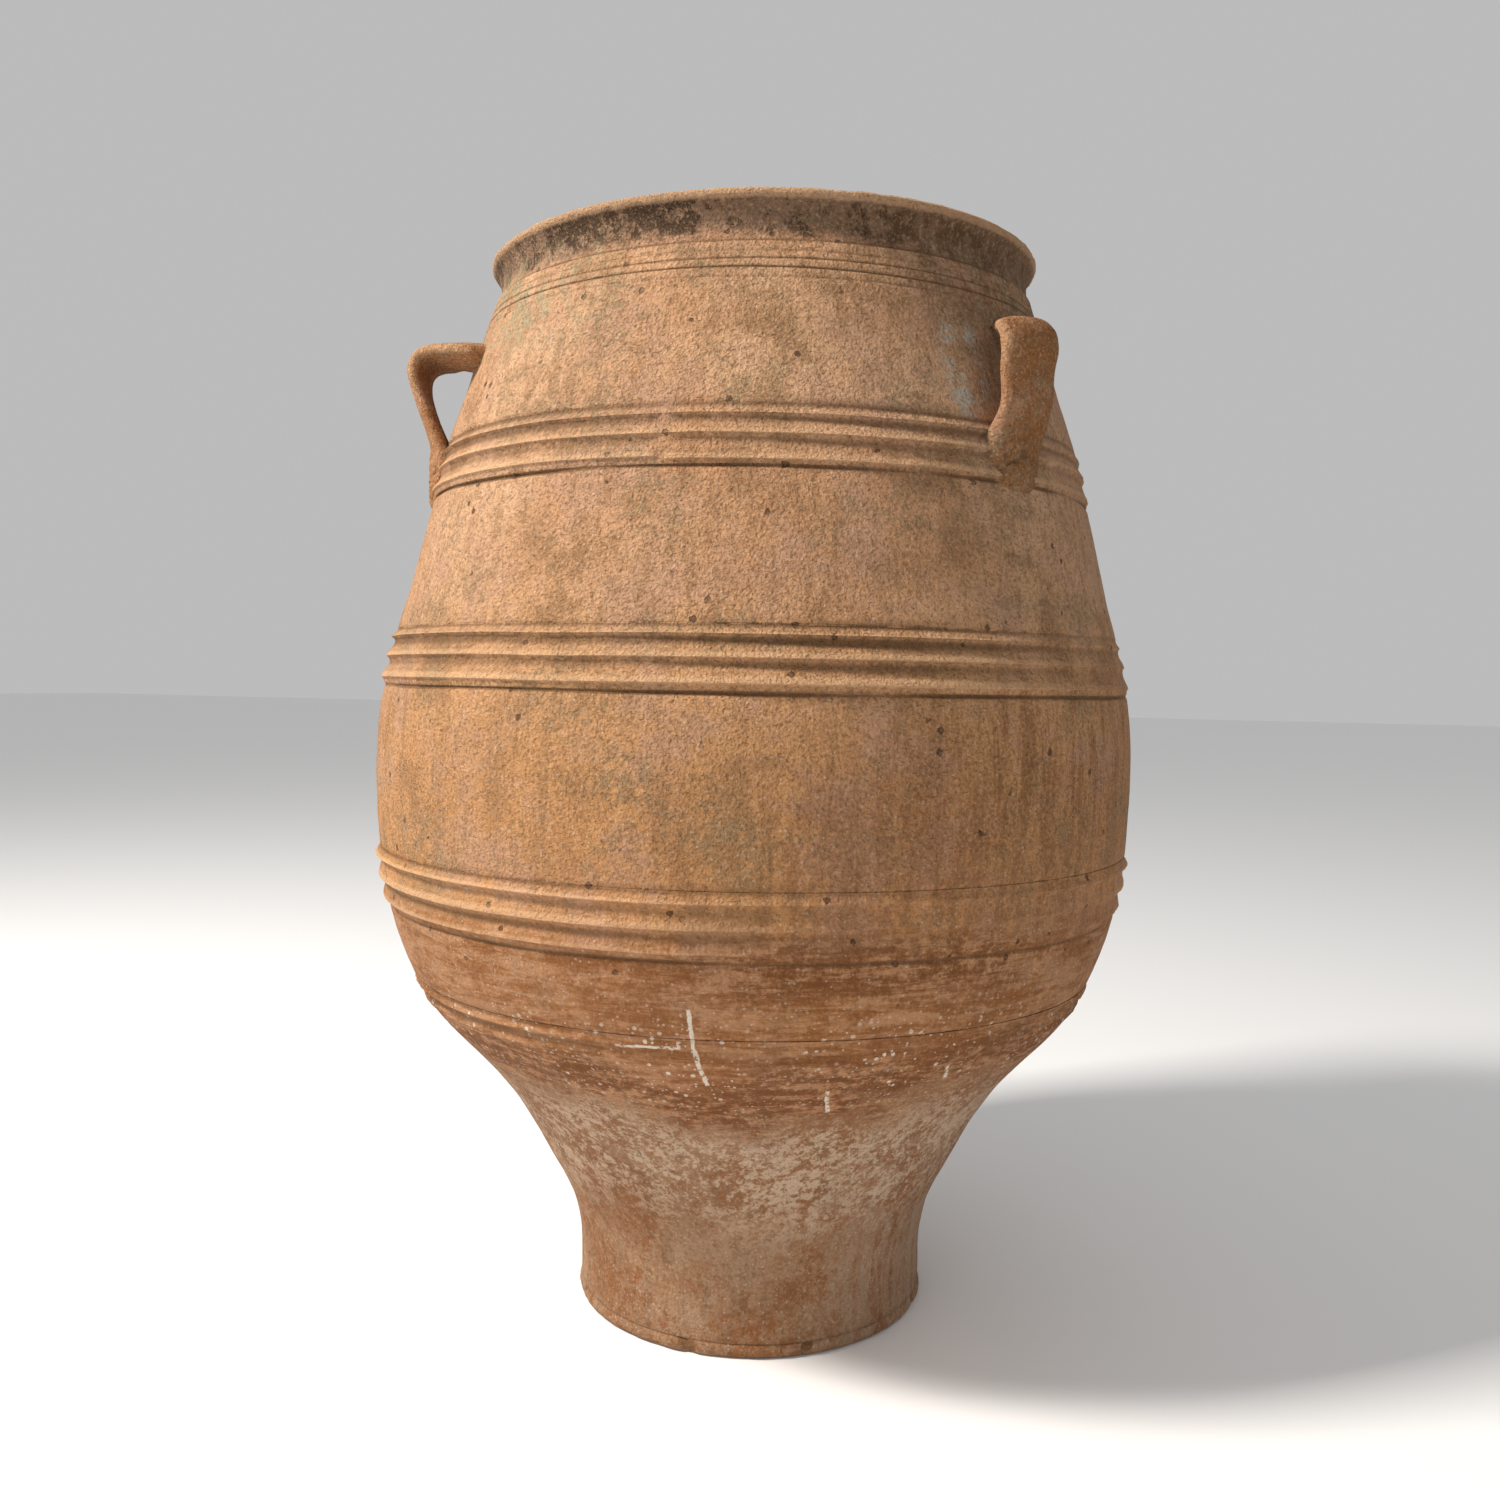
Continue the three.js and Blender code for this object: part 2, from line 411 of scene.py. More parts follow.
def rim_ring(clay):
    """The flared rim and its uneven lip."""
    section = RIM_OUTSIDE + RIM_INSIDE + [(1148, inner_radius(1148))]
    fine = []
    for (low, near), (high, far) in zip(section, section[1:]):
        count = max(1, round(math.dist((low, near), (high, far)) / RIM_STEP))
        fine += [(low + (high - low) * i / count, near + (far - near) * i / count) for i in range(count)]
    bm = turned(fine + [section[-1]], BAND_TURN_STEPS)
    wear_and_painted_light = bm.verts.layers.float.new(WEAR_AND_PAINTED_LIGHT)
    for vert in bm.verts:
        height = vert.co.z / MM
        turn = math.atan2(vert.co.y, vert.co.x)
        lip = rise(height, 1186, 1192)
        # The lip is marked for rubbing and a painted highlight, the crease at the neck for dirt and
        # painted shade.
        vert[wear_and_painted_light] = lip - hump(height, 1150, 3)
        radius = vert.co.xy.length / MM
        vert.co.xy *= (radius + lumps(vert.co, RIM_LUMPS) * (0.25 + 0.9 * lip)) / radius
        vert.co.z += lip * sum(far * waver(turn, 0, seed, size) for far, seed, size in LIP_WAVES) * MM
    return piece("rim_ring", bm, clay)


# A strap handle from its root down to its foot: distance from the axis, height, width, thickness.
STRAP_STATIONS = [
    (321, 1080, 52, 31),
    (332, 1082, 56, 27),
    (345, 1082, 65, 21),
    (358, 1080, 73, 18),
    (370, 1077.5, 74, 17),
    (380, 1072.5, 74, 17),
    (386.5, 1063, 74, 17.5),
    (388.5, 1049, 74, 18),
    (385.5, 1033, 73, 18),
    (381, 1017, 72, 18),
    (376, 1001, 70, 19),
    (371.5, 988, 70, 21),
    (368, 975, 72, 25),
    (367.5, 961, 75, 28),
    (368, 947, 76, 28),
    (369.5, 934, 74, 26),
    (371.5, 922, 66, 20),
    (373, 912, 46, 10),
]
STRAP_SIDES = 48
STRAP_STEP = 0.2  # part of the way from one station to the next
STRAP_FULLNESS = 0.66  # 1 is an oval section and 0 a square one
STRAP_THINNING = 0.15  # how much thinner its two edges are
STRAP_HALF_WIDTH = 37
STRAP_CROWN = 1.5  # how much lower its edges are than its middle
STRAP_LUMPS = [(24, 0.9), (90, 0.5)]
ARCH_FROM, ARCH_TO = 985, 1060
ARCH_CENTRE = Vector((352, 0, 1036)) * MM
ROOT_HEIGHT = 1078
SLACK_HEIGHT, SLACK_REACH = 990, 48
FOOT_PRESS = 5.0  # how far the foot's two edges are pressed back on the wall
FOOT_HEIGHT, FOOT_REACH = 945, 50
FOOT_SMEAR = 2.8
CRACK_DEPTH = 2.2
# Each strap's turn round the jar in degrees; how much higher its arch is, how far that reaches out, and
# its slack below the arch; how much higher (tilt) and further out (twist) its anticlockwise edge is; and
# how far the root is set over that way (skew) and down (drop).
STRAPS = {
    "handle_rear": dict(degrees=90, lift=0, reach=0, slack=3, tilt=4, twist=4, skew=40, drop=4),
    "handle_left": dict(degrees=210, lift=4, reach=4.5, slack=0, tilt=4, twist=8, skew=50, drop=12.5),
    "handle_right": dict(degrees=330, lift=1, reach=-2, slack=9, tilt=4.5, twist=3, skew=43, drop=0),
}


def strap_frames():
    """One matrix for each step along the strap: a unit section to its place, its width along Y."""
    course = [through(list(enumerate(column))) for column in zip(*STRAP_STATIONS)]
    steps = spaced(0, len(STRAP_STATIONS) - 1, STRAP_STEP)
    stations = [[at(step) for at in course] for step in steps]
    places = [Vector((x, 0, z)) * MM for x, z, _, _ in stations]
    frames = []
    for i, (place, (_, _, width, thickness)) in enumerate(zip(places, stations)):
        along = (places[min(i + 1, len(places) - 1)] - places[max(i - 1, 0)]).normalized()
        across = Vector((0, 1, 0))
        turn = Matrix((across, along.cross(across), along)).transposed().to_4x4()
        size = Matrix.Diagonal((width / 2 * MM, thickness / 2 * MM, MM, 1))
        frames.append(Matrix.Translation(place) @ turn @ size)
    return frames


def strap_tube():
    """The strap as it is rolled and bent, at the +X side of the jar: a section drawn along its course."""
    bm = bmesh.new()
    bmesh.ops.create_circle(bm, cap_ends=True, radius=1, segments=STRAP_SIDES)
    for vert in bm.verts:
        vert.co.x = math.copysign(abs(vert.co.x) ** STRAP_FULLNESS, vert.co.x)
        vert.co.y = math.copysign(abs(vert.co.y) ** STRAP_FULLNESS, vert.co.y)
        vert.co.y *= 1 - STRAP_THINNING * vert.co.x**2
    frames = strap_frames()
    bmesh.ops.transform(bm, matrix=frames[0], verts=bm.verts)
    front = bm.faces[:]
    for before, after in zip(frames, frames[1:]):
        grown = bmesh.ops.extrude_face_region(bm, geom=front)["geom"]
        front = [part for part in grown if isinstance(part, bmesh.types.BMFace)]
        moved = [part for part in grown if isinstance(part, bmesh.types.BMVert)]
        bmesh.ops.transform(bm, matrix=after @ before.inverted(), verts=moved)
    close_up(bm)
    return bm


def strap_handle(name, clay, slot, degrees, lift, reach, slack, tilt, twist, skew, drop):
    """A strap bent to its own shape, turned to its place and smeared on to the wall at its foot."""
    bm = strap_tube()
    wear_and_painted_light = bm.verts.layers.float.new(WEAR_AND_PAINTED_LIGHT)
    for vert in bm.verts:
        x, y, z = vert.co / MM
        arch = rise(z, ARCH_FROM, ARCH_TO)
        free = arch * rise(x, 325, 360)
        root = rise(z, 1030, ARCH_TO) * (1 - rise(x, 335, 384))
        outward = (vert.co - ARCH_CENTRE) * Vector((1, 0, 1))
        # The arch's two edges are marked for rubbing and a painted highlight.
        vert[wear_and_painted_light] = 0.7 * arch * rise(abs(y), 24, 35)
        vert.co -= outward.normalized() * STRAP_CROWN * MM * free * (y / 36) ** 2
        edge = y / STRAP_HALF_WIDTH
        out = reach * arch + slack * hump(z, SLACK_HEIGHT, SLACK_REACH) + twist * free * edge
        out -= FOOT_PRESS * rise(z, 984, 952) * (y / 39) ** 2
        out -= root * (y + skew * root) ** 2 / (2 * wall_radius(ROOT_HEIGHT))
        up = lift * arch + tilt * free * edge - drop * root
        vert.co += Vector((out, skew * root, up)) * MM
    place = Matrix.Rotation(math.radians(degrees), 3, "Z")
    bmesh.ops.rotate(bm, cent=(0, 0, 0), matrix=place, verts=bm.verts)
    bm.normal_update()
    for vert in bm.verts:
        foot = hump(vert.co.z / MM, FOOT_HEIGHT, FOOT_REACH)
        own = vert.co + Vector((0, 0, degrees))
        smear = foot * FOOT_SMEAR * noise.noise(own * 44)
        crack = foot * rise(abs(noise.noise(own * 38)), 0.07, 0.01)
        # Cracks in the foot are marked for dirt and painted shade.
        vert[wear_and_painted_light] -= crack
        vert.co += vert.normal * (lumps(vert.co, STRAP_LUMPS) + smear - CRACK_DEPTH * crack) * MM
    return piece(name, bm, clay)


class Wire:
    """One socket's value. Arithmetic on it adds Math nodes to its clay's tree."""

    def __init__(self, clay, socket):
        self.clay = clay
        self.socket = socket

    def maths(self, operation, *values):
        settings = {"operation": operation}
        return self.clay.node("Math", settings, dict(enumerate(values)))

    def __add__(self, other):
        return self.maths("ADD", self, other)

    def __sub__(self, other):
        return self.maths("SUBTRACT", self, other)

    def __rsub__(self, other):
        return self.maths("SUBTRACT", other, self)

    def __mul__(self, other):
        return self.maths("MULTIPLY", self, other)

    def __abs__(self):
        return self.maths("ABSOLUTE", self)

    __radd__ = __add__
    __rmul__ = __mul__


class Clay:
    """A fired clay whose colours are laid on in coats; all its patterns are on Object coordinates."""

    def __init__(self, name, body):
        self.material = bpy.data.materials.new(name)
        self.material.use_nodes = True
        self.tree = self.material.node_tree
        self.shader = self.tree.nodes["Principled BSDF"]
        self.place = self.node("TexCoord", {}, {}, "Object")
        x, y, z = (self.node("SeparateXYZ", {}, {0: self.place}, axis) for axis in "XYZ")
        self.height = z * 1000
        ahead = x * -math.sin(VIEW_TURN) + y * math.cos(VIEW_TURN)
        aside = x * math.cos(VIEW_TURN) + y * math.sin(VIEW_TURN)
        self.turn = aside.maths("ARCTAN2", aside, 0 - ahead) * (180 / math.pi)
        self.wear_and_painted_light = self.node("Attribute", {"attribute_name": WEAR_AND_PAINTED_LIGHT}, {}, "Fac")
        self.cloud = self.grain(260, detail=5)
        self.patch = self.grain(90, detail=8, roughness=0.68, shift=3)
        self.fleck = self.grain(11, detail=5, roughness=0.72, shift=7)
        self.sand = self.grain(3.8, detail=3, roughness=0.68, shift=11)
        self.runs = self.grain(15, (1, 1, 9), detail=7, roughness=0.7, shift=5)
        self.thrown = self.grain(10, (8, 8, 1), detail=7, roughness=0.76, shift=9, distortion=0.6)
        self.lace = self.grain(10, detail=8, roughness=0.74, shift=17)
        self.crust = self.grain(19, (1, 1, 1.1), 10, 0.8, 29)
        self.pits = self.specks(11, 0.03, 5) * self.rise(self.height, 380, 480)
        self.sandy = 0.45 + 0.55 * self.rise(self.height, 420, 620)
        self.colour = body
        self.relief = None

    def node(self, kind, settings, inputs, output=0):
        """Adds a node: its settings first, then its sockets' values or links."""
        made = self.tree.nodes.new(f"ShaderNode{kind}")
        for name, value in settings.items():
            setattr(made, name, value)
        for name, value in inputs.items():
            if isinstance(value, Wire):
                self.tree.links.new(value.socket, made.inputs[name])
            else:
                made.inputs[name].default_value = value
        return Wire(self, made.outputs[output])

    def rise(self, value, low, high):
        """0 at low and 1 at high, smooth between; low may be the greater."""
        settings = {"interpolation_type": "SMOOTHSTEP"}
        return self.node("MapRange", settings, {"Value": value, "From Min": low, "From Max": high})

    def between(self, value, low, high, soft):
        return self.rise(value, low - soft, low + soft) * self.rise(value, high + soft, high - soft)

    def grain(self, size, stretch=(1, 1, 1), detail=4, roughness=0.55, shift=0.0, distortion=0.0):
        """Noise from 0 to 1 whose lumps are about that size in millimetres, stretched along each axis."""
        scale = tuple(1 / part for part in stretch)
        moved = {"Vector": self.place, "Location": (shift, shift, shift), "Scale": scale}
        inputs = {
            "Vector": self.node("Mapping", {}, moved),
            "Scale": 1000 / size,
            "Detail": detail,
            "Roughness": roughness,
            "Distortion": distortion,
        }
        return self.node("TexNoise", {}, inputs)

    def specks(self, size, share, shift):
        """Ragged grains about a cell of that size apart, showing in about that share of the cells."""
        moved = {"Vector": self.place, "Location": (shift, shift, shift)}
        cell = {"Vector": self.node("Mapping", {}, moved), "Scale": 1000 / size}
        near = self.node("TexVoronoi", {}, cell, "Distance")
        tint = self.node("TexVoronoi", {}, cell, "Color")
        chance = self.node("SeparateXYZ", {}, {0: tint}, "X")
        grains = self.rise(near + (self.sand - 0.5) * 0.5, 0.34, 0.22)
        return grains * self.rise(chance, 1 - share, 1 - share * 0.6)

    def lay(self, coat, cover):
        """Lays a coat of colour over what is there, as fully as cover says at each place."""
        self.colour = self.node("Mix", {"data_type": "RGBA"}, {0: cover, 6: self.colour, 7: coat}, 2)

    def emboss(self, height, depth):
        """Adds a fine relief to the surface; its depth is in millimetres."""
        inputs = {"Height": height, "Distance": depth * MM, "Strength": 1.0}
        if self.relief:
            inputs["Normal"] = self.relief
        self.relief = self.node("Bump", {}, inputs)

    def finish(self):
        links = {"Base Color": self.colour, "Roughness": 0.86 + self.fleck * 0.12, "Normal": self.relief}
        for name, value in links.items():
            self.tree.links.new(value.socket, self.shader.inputs[name])
        self.shader.inputs["Specular IOR Level"].default_value = 0.22
        return self.material


def tone(red, green, blue):
    """A paint-chart colour, each part from 0 to 255, as light."""
    return tuple((part / 255) ** 2.2 for part in (red, green, blue)) + (1.0,)


PALE_SAND = tone(198, 157, 122)
OCHRE = tone(184, 134, 88)
WARM_CLAY = tone(176, 126, 88)
PINK_CLAY = tone(178, 138, 112)
DUN = tone(142, 106, 74)
GREY_DUST = tone(136, 114, 86)
RUST_WASH = tone(126, 78, 42)
DEEP_RUST = tone(96, 56, 28)
LIME = tone(190, 166, 142)
CHALK = tone(216, 206, 190)
MORTAR = tone(170, 165, 154)
MOULD = tone(58, 44, 33)
LICHEN = tone(148, 142, 112)
PIT = tone(76, 52, 36)
FOOT_CLAY = tone(134, 102, 77)
# Dirt, also used as painted shade in hollows and on the neck's right-hand side.
DIRT_AND_SHADE_CLAY = tone(104, 76, 52)
# Dirt and painted shade under the rim's lip.
RIM_DIRT_AND_SHADE_CLAY = tone(122, 98, 79)
# The straps' own browner clay, darkened as painted shade.
SHADED_STRAP_CLAY = tone(134, 85, 42)
# Rubbed-pale clay, also used as a painted highlight on edges and grain tops.
RUBBED_AND_HIGHLIGHT = tone(214, 172, 132)

# Where the weathering and the painted shade lie: each from low to high in height, in millimetres, or in
# turn from the view, in degrees, some with how softly it ends. A rise or fall is from nothing to full.
NECK_PALES = (600, 930)
KEEL_DIRT, KEEL_DIRT_TURNS = (390, 500, 30), (-20, -48)
WASH_STARTS, WASH_ENDS = (270, 330), (520, 468)
HIGH_WASH, HIGH_WASH_STARTS, HIGH_WASH_ENDS = (480, 650, 60), (-30, 8), (80, 48)
SIDE_WASH, SIDE_WASH_TURNS = (620, 720, 40), (24, 70, 14)
DARK_WASH = (290, 365, 26)
DARK_SMEAR, DARK_SMEAR_TURNS = (440, 500, 24), (-8, 38, 10)
FOOT_ZONE_ENDS = (330, 270)
SPLASH_TURNS, SPLASH_ENDS = (10, 42), (175, 130)
BLOOM = (175, 305, 42)
LIME_SPECKS = (320, 410, 30)
RIM_MOULD_AND_SHADE = (1152, 1190, 8)
DAMP_LEFT, DAMP_RIGHT, DAMP_BEHIND = (-48, -12, 6), (17, 54, 6), (40, 70)
LICHEN_NECK, LICHEN_SIDES = (1060, 1158, 22), (20, 48)
# Dirt with painted shade on the neck's right-hand side.
NECK_DIRT_AND_SHADE, NECK_DIRT_AND_SHADE_TURNS = (1010, 1120), (22, 90, 16)
MORTAR_DAB, MORTAR_TURNS = (985, 1075, 10), (31, 39, 2)

# White scrapes: turn and height of each end, and half the width.
SCRAPES = [
    (-8.2, 427, -7.8, 386, 1.5),
    (-7.8, 386, -6.4, 345, 1.8),
    (-19.0, 384, -9.6, 387, 1.2),
    (11.9, 337, 13.4, 308, 2.0),
    (31.3, 355, 32.8, 338, 1.4),
]
SCRAPE_REACH = 390 * math.pi / 180  # millimetres to a degree where the scrapes are


def mottle(clay):
    """The cloudy colour of the fired clay, with rain runs and dust."""
    clay.lay(WARM_CLAY, clay.rise(clay.cloud, 0.4, 0.62) * 0.7)
    clay.lay(PINK_CLAY, clay.rise(clay.patch, 0.47, 0.62) * 0.7)
    clay.lay(DUN, clay.rise(clay.patch, 0.49, 0.36) * 0.7)
    clay.lay(DUN, clay.rise(clay.runs, 0.48, 0.62) * 0.5)
    dust = clay.grain(120, (1, 1, 0.7), 8, 0.72, 13)
    clay.lay(GREY_DUST, clay.rise(dust, 0.5, 0.6) * clay.rise(clay.lace, 0.4, 0.6) * 0.75)
    clay.lay(DUN, clay.rise(clay.fleck, 0.5, 0.6) * 0.3)
    keel_dirt = clay.between(clay.height, *KEEL_DIRT) * clay.rise(clay.turn, *KEEL_DIRT_TURNS)
    clay.lay(DUN, keel_dirt * clay.rise(clay.patch, 0.38, 0.56) * 0.6)


def rust_wash(clay, ragged_height):
    """Rust-brown wash in level smears round the lower belly, and a thinner one above it on one side."""
    ragged_top = clay.height + (clay.patch - 0.5) * 70
    wash = clay.rise(ragged_height, *WASH_STARTS) * clay.rise(ragged_top, *WASH_ENDS)
    smear = clay.rise(clay.thrown * 0.45 + clay.patch * 0.35 + clay.lace * 0.2, 0.44, 0.56)
    clay.lay(PINK_CLAY, wash * clay.rise(smear, 1, 0) * 0.4)
    clay.lay(RUST_WASH, wash * (0.2 + smear * 0.7))

    high_turns = clay.rise(clay.turn, *HIGH_WASH_STARTS) * clay.rise(clay.turn, *HIGH_WASH_ENDS)
    high_smear = clay.rise(clay.patch * 0.4 + clay.lace * 0.3 + clay.runs * 0.3, 0.44, 0.54)
    clay.lay(RUST_WASH, clay.between(clay.height, *HIGH_WASH) * high_turns * high_smear * 0.42)
    side = clay.between(clay.height, *SIDE_WASH) * clay.between(clay.turn, *SIDE_WASH_TURNS)
    clay.lay(RUST_WASH, side * clay.rise(clay.runs, 0.44, 0.58) * 0.42)

    smeared = clay.between(clay.height, *DARK_SMEAR) * clay.between(clay.turn, *DARK_SMEAR_TURNS)
    dark = clay.between(ragged_height, *DARK_WASH) + smeared * 0.8
    clay.lay(DEEP_RUST, dark * clay.rise(clay.thrown * 0.5 + clay.lace * 0.5, 0.44, 0.53) * 0.7)


def darker_foot_and_stains(clay, ragged_height):
    """The foot, laid darker towards the bottom and stained, and lime that rain has splashed up the flare.
    """
    foot = clay.rise(ragged_height, *FOOT_ZONE_ENDS)
    # The foot is laid darker towards the bottom.
    clay.lay(FOOT_CLAY, foot * 0.8)
    stain = clay.rise(clay.grain(120, (1, 1, 1.2), 10, 0.78, 21), 0.47, 0.55)
    clay.lay(RUST_WASH, foot * stain * 0.8)
    clay.lay(DIRT_AND_SHADE_CLAY, foot * clay.rise(clay.runs, 0.5, 0.6) * 0.4)
    splashed = clay.rise(clay.turn, *SPLASH_TURNS) * clay.rise(clay.height, *SPLASH_ENDS)
    clay.lay(LIME, foot * splashed * clay.rise(clay.runs, 0.36, 0.62) * 0.42)
    crumbs = clay.lace * 0.4 + clay.patch * 0.25 + clay.fleck * 0.2 + clay.sand * 0.15
    bloom = 0.25 + clay.between(ragged_height, *BLOOM) * 0.75
    clay.lay(LIME, bloom * foot * (0.08 + clay.rise(crumbs, 0.465, 0.54) * 0.72))


def lime_and_pits(clay):
    """White lime specks, thick on the wash and thin elsewhere, and small dark pits."""
    specked = clay.between(clay.height, *LIME_SPECKS) * clay.rise(clay.patch, 0.4, 0.54)
    thick = 0.08 + specked * 0.9
    clay.lay(CHALK, clay.specks(8, 0.3, 2) * thick * 0.85)
    clay.lay(CHALK, clay.specks(4.4, 0.25, 3) * (0.2 + thick * 0.5))
    clay.lay(PIT, clay.pits * 0.75)


def rim_mould(clay):
    """Dirt and painted shade under the overhanging lip, and black mould on it, thickest where the rim
    stays damp.
    """
    under_lip = clay.between(clay.height + (clay.crust - 0.5) * 40, *RIM_MOULD_AND_SHADE)
    damp = clay.between(clay.turn, *DAMP_LEFT) * 1.7 + clay.between(clay.turn, *DAMP_RIGHT) * 0.7
    behind = clay.rise(abs(clay.turn), *DAMP_BEHIND)
    damp = damp + clay.rise(clay.grain(150, (1, 1, 1), 4, 0.6, 33), 0.5, 0.6) * behind
    # Painted shade under the overhanging lip, mixed with dirt; the mould lies over it.
    clay.lay(RIM_DIRT_AND_SHADE_CLAY, under_lip * 0.9)
    clay.lay(MOULD, under_lip * clay.rise(clay.crust + damp * 0.06, 0.52, 0.59) * 0.88)


def neck_growth(clay):
    """Lichen down the neck, and dirt with painted shade on its right-hand side."""
    sides = clay.between(clay.height, *LICHEN_NECK) * clay.rise(abs(clay.turn - 2), *LICHEN_SIDES)
    clay.lay(LICHEN, clay.rise(clay.grain(26, (1, 1, 1.5), 9, 0.75, 31), 0.46, 0.56) * sides * 0.7)
    # Dirt, and painted shade for the neck's right-hand side.
    dirt_and_shade = clay.rise(clay.height, *NECK_DIRT_AND_SHADE) * clay.between(clay.turn, *NECK_DIRT_AND_SHADE_TURNS)
    clay.lay(DIRT_AND_SHADE_CLAY, dirt_and_shade * (0.35 + 0.4 * clay.rise(clay.crust, 0.46, 0.58)))


def scrapes(clay):
    """White marks where something hard was dragged across the wall."""
    for near_turn, near, far_turn, far, half in SCRAPES:
        wide, tall = (far_turn - near_turn) * SCRAPE_REACH, far - near
        length = math.hypot(wide, tall)
        aside, above = (clay.turn - near_turn) * SCRAPE_REACH, clay.height - near
        along = (aside * wide + above * tall) * (1 / length**2)
        off = (aside * tall - above * wide) * (1 / length)
        ragged = abs(off + (clay.fleck - 0.5) * 5) + (clay.sand - 0.5) * 3
        mark = clay.rise(ragged, half + 0.9, half) * clay.between(along, 0, 1, 0.03)
        clay.lay(CHALK, mark * clay.rise(clay.lace, 0.42, 0.48) * 0.85)


def mortar_dab(clay):
    """Mortar dabbed beside the right-hand strap."""
    dab = clay.between(clay.turn, *MORTAR_TURNS) * clay.between(clay.height, *MORTAR_DAB)
    clay.lay(MORTAR, dab * clay.rise(clay.grain(30, detail=7, roughness=0.7, shift=37), 0.52, 0.56) * 0.85)


def dirt_wear_and_painted_light(clay):
    """Dirt and painted shade in the hollows, and rubbing and a painted highlight on edges and on the tops
    of the sand.
    """
    # Painted shade in the low parts of the sand relief, and a painted highlight on its high parts.
    clay.lay(DIRT_AND_SHADE_CLAY, clay.rise(clay.sand, 0.5, 0.34) * clay.sandy * 0.5)
    clay.lay(RUBBED_AND_HIGHLIGHT, clay.rise(clay.sand, 0.52, 0.68) * clay.sandy * 0.3)
    # Painted shade with dirt in marked hollows and creases, and a painted highlight with rubbing on marked
    # crests and edges.
    clay.lay(DIRT_AND_SHADE_CLAY, clay.rise(clay.wear_and_painted_light + (clay.fleck - 0.5) * 0.5, -0.1, -0.9) * 0.75)
    clay.lay(RUBBED_AND_HIGHLIGHT, clay.rise(clay.wear_and_painted_light + (clay.fleck - 0.5) * 0.8, 0.35, 0.95) * 0.45)


def roughen(clay):
    """The sandy face of the clay, finest grains first."""
    grit = clay.node("TexVoronoi", {}, {"Vector": clay.place, "Scale": 1000 / 2.9}, "Distance")
    clay.emboss((0 - grit) * clay.sandy, 1.5)
    clay.emboss(clay.sand * clay.sandy, 4.4)
    clay.emboss(clay.fleck, 1.8)
    clay.emboss(clay.thrown, 1.4)
    clay.emboss(0 - clay.pits, 1.2)


def weathered_and_shaded(name, body=OCHRE, neck=PALE_SAND, on_wall=True):
    """Sandy earthenware that has stood outdoors for years, with painted shade and highlights among its
    marks; the marks follow height and turn.
    """
    clay = Clay(name, body)
    clay.lay(neck, clay.rise(clay.height, *NECK_PALES))
    mottle(clay)
    ragged = (clay.cloud - 0.5) * 150 + (clay.patch - 0.5) * 130 + (clay.lace - 0.5) * 40
    rust_wash(clay, clay.height + ragged)
    darker_foot_and_stains(clay, clay.height + ragged)
    lime_and_pits(clay)
    rim_mould(clay)
    if on_wall:
        neck_growth(clay)
        scrapes(clay)
        mortar_dab(clay)
    dirt_wear_and_painted_light(clay)
    roughen(clay)
    return clay.finish()


wall_clay = weathered_and_shaded("weathered_wall_clay")
band_clay = weathered_and_shaded("weathered_band_clay")
foot_clay = weathered_and_shaded("weathered_foot_clay")
rim_clay = weathered_and_shaded("weathered_rim_clay", RIM_DIRT_AND_SHADE_CLAY, PINK_CLAY)
# The straps' colour is their clay darkened as painted shade.
shaded_handle_clay = weathered_and_shaded("weathered_handle_clay_in_painted_shade", SHADED_STRAP_CLAY, SHADED_STRAP_CLAY, on_wall=False)

base_slab(foot_clay)
for ring, bottom, top in WALL_RINGS:
    finish = (foot_clay, "clay_foot") if top <= FOOT_CLAY_TOP else (wall_clay, "clay_wall")
    wall_ring(ring, bottom, top, *finish)
for band, (bottom, top, crests) in BANDS.items():
    clay_band(band, bottom, top, crests, band_clay)
rim_ring(rim_clay)
for strap, bend in STRAPS.items():
    strap_handle(strap, shaded_handle_clay, "clay_handle", **bend)


FLOOR_SIZE = 30
LAMP_AIM = 0.62
AIR_GLOW = 0.5


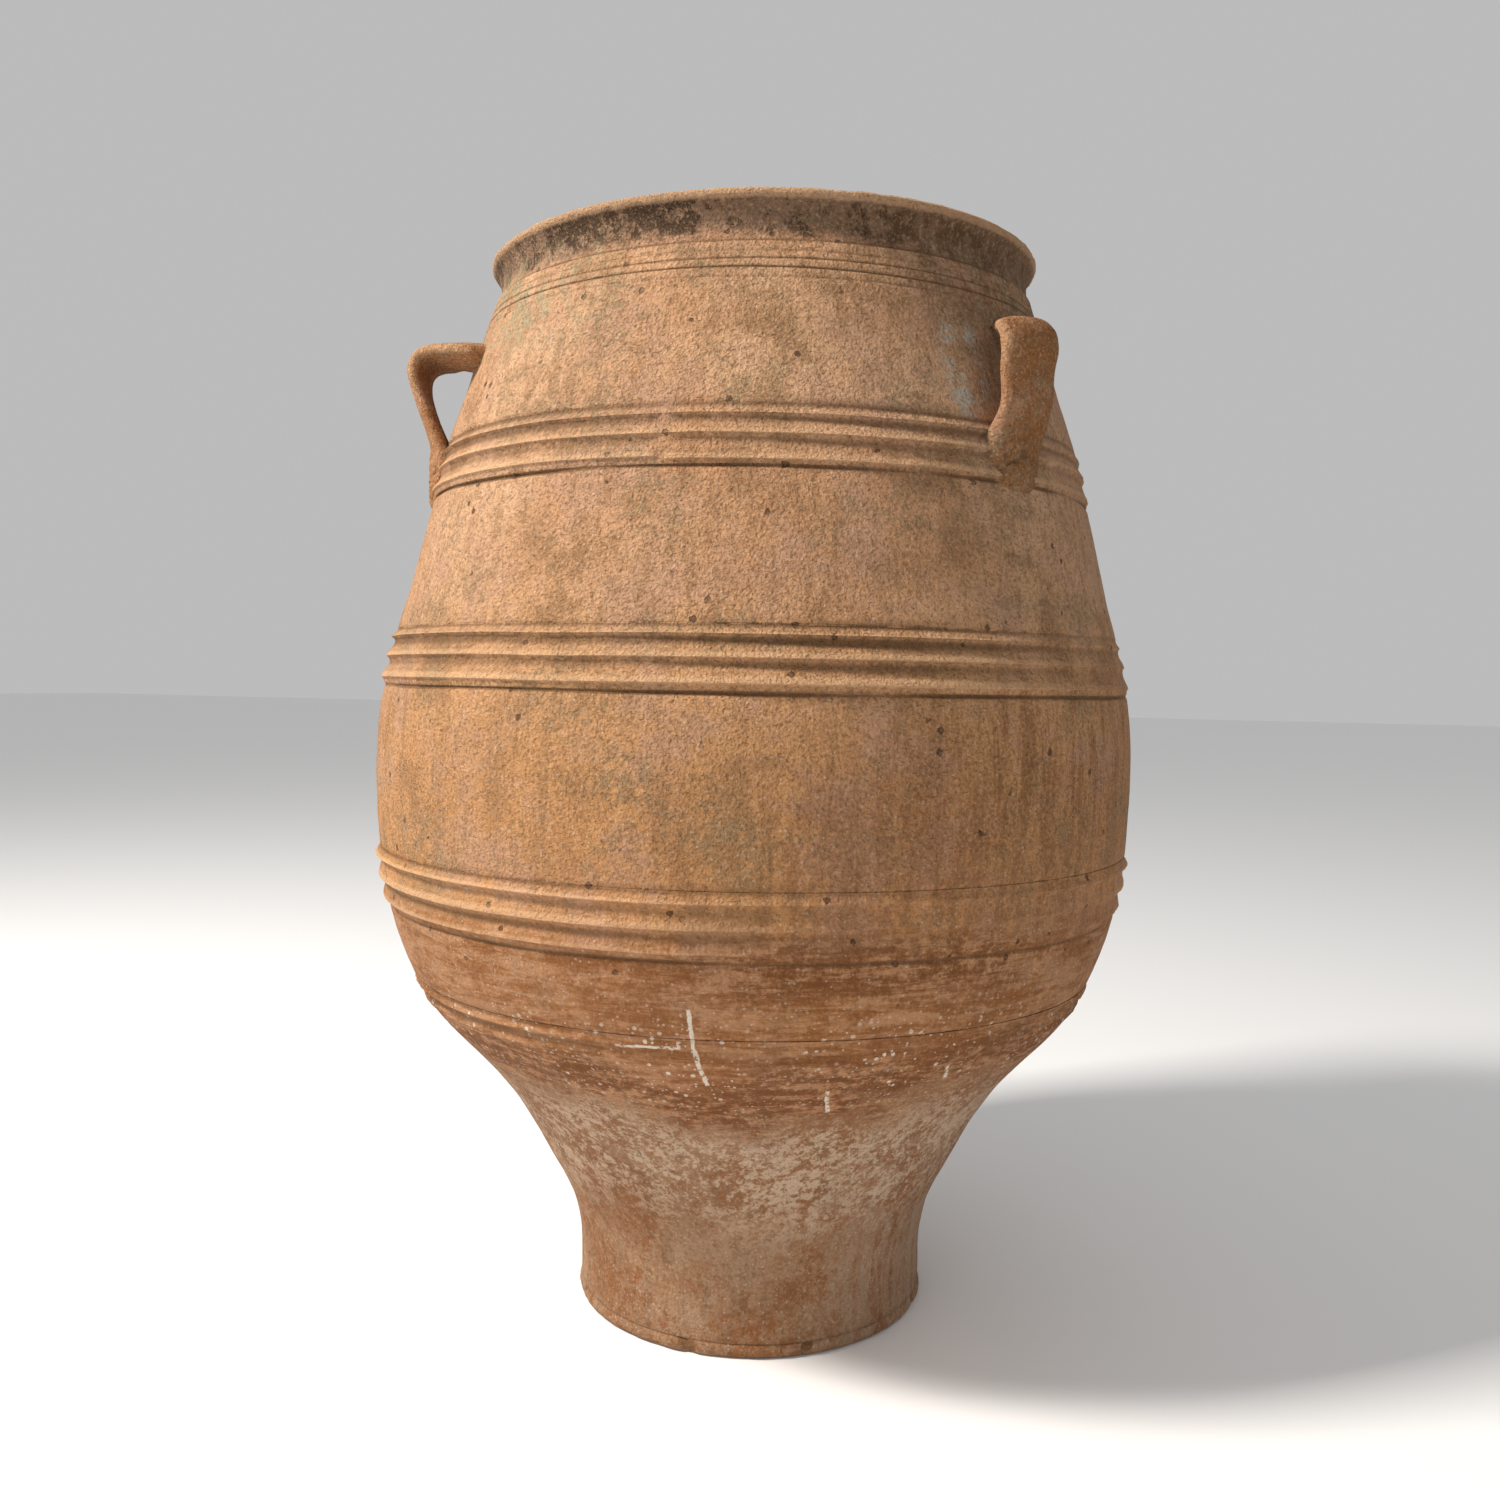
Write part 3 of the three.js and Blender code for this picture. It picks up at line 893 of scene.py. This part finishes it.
def studio_floor():
    """A wide pale floor."""
    bm = bmesh.new()
    bmesh.ops.create_grid(bm, x_segments=1, y_segments=1, size=FLOOR_SIZE)
    mesh = bpy.data.meshes.new("studio_floor")
    bm.to_mesh(mesh)
    bm.free()
    floor = bpy.data.objects.new("studio_floor", mesh)
    bpy.context.collection.objects.link(floor)
    paper = bpy.data.materials.new("pale_paper")
    paper.use_nodes = True
    shader = paper.node_tree.nodes["Principled BSDF"]
    shader.inputs["Base Color"].default_value = (0.9, 0.9, 0.9, 1)
    shader.inputs["Roughness"].default_value = 0.9
    mesh.materials.append(paper)


def soft_box(name, turn, height, distance, size, power, colour):
    """A square lamp aimed at the jar's middle; its turn is from the camera, right being positive."""
    light = bpy.data.lights.new(name, "AREA")
    light.size = size
    light.energy = power
    light.color = colour
    lamp = bpy.data.objects.new(name, light)
    bpy.context.collection.objects.link(lamp)
    angle = VIEW_TURN + math.radians(turn)
    lamp.location = (math.sin(angle) * distance, -math.cos(angle) * distance, height)
    aim = Vector((0, 0, LAMP_AIM)) - lamp.location
    lamp.rotation_euler = aim.to_track_quat("-Z", "Y").to_euler()


def studio():
    studio_floor()
    world = bpy.data.worlds.new("studio_air")
    world.use_nodes = True
    backdrop = world.node_tree.nodes["Background"]
    backdrop.inputs["Color"].default_value = (1.0, 1.0, 1.0, 1)
    backdrop.inputs["Strength"].default_value = AIR_GLOW
    bpy.context.scene.world = world
    soft_box(
        "key_box", turn=-66, height=3.6, distance=3.0, size=0.7, power=262, colour=(1.0, 0.95, 0.88)
    )
    soft_box(
        "front_box", turn=-20, height=1.6, distance=4.2, size=2.4, power=14, colour=(1.0, 0.97, 0.94)
    )
    view = bpy.context.scene.view_settings
    view.view_transform = "Standard"
    view.look = "None"


def camera():
    data = bpy.data.cameras.new("view")
    data.lens = VIEW_LENS
    data.sensor_width = 36
    data.clip_end = 100
    eye = bpy.data.objects.new("view", data)
    bpy.context.collection.objects.link(eye)
    eye.location = (
        math.sin(VIEW_TURN) * VIEW_DISTANCE,
        -math.cos(VIEW_TURN) * VIEW_DISTANCE,
        VIEW_HEIGHT,
    )
    level = Euler((math.pi / 2 + VIEW_PITCH, 0, VIEW_TURN + VIEW_YAW)).to_matrix()
    roll = Matrix.Rotation(VIEW_ROLL, 3, "Z")
    eye.rotation_euler = (level @ roll).to_euler()
    bpy.context.scene.camera = eye


studio()
camera()
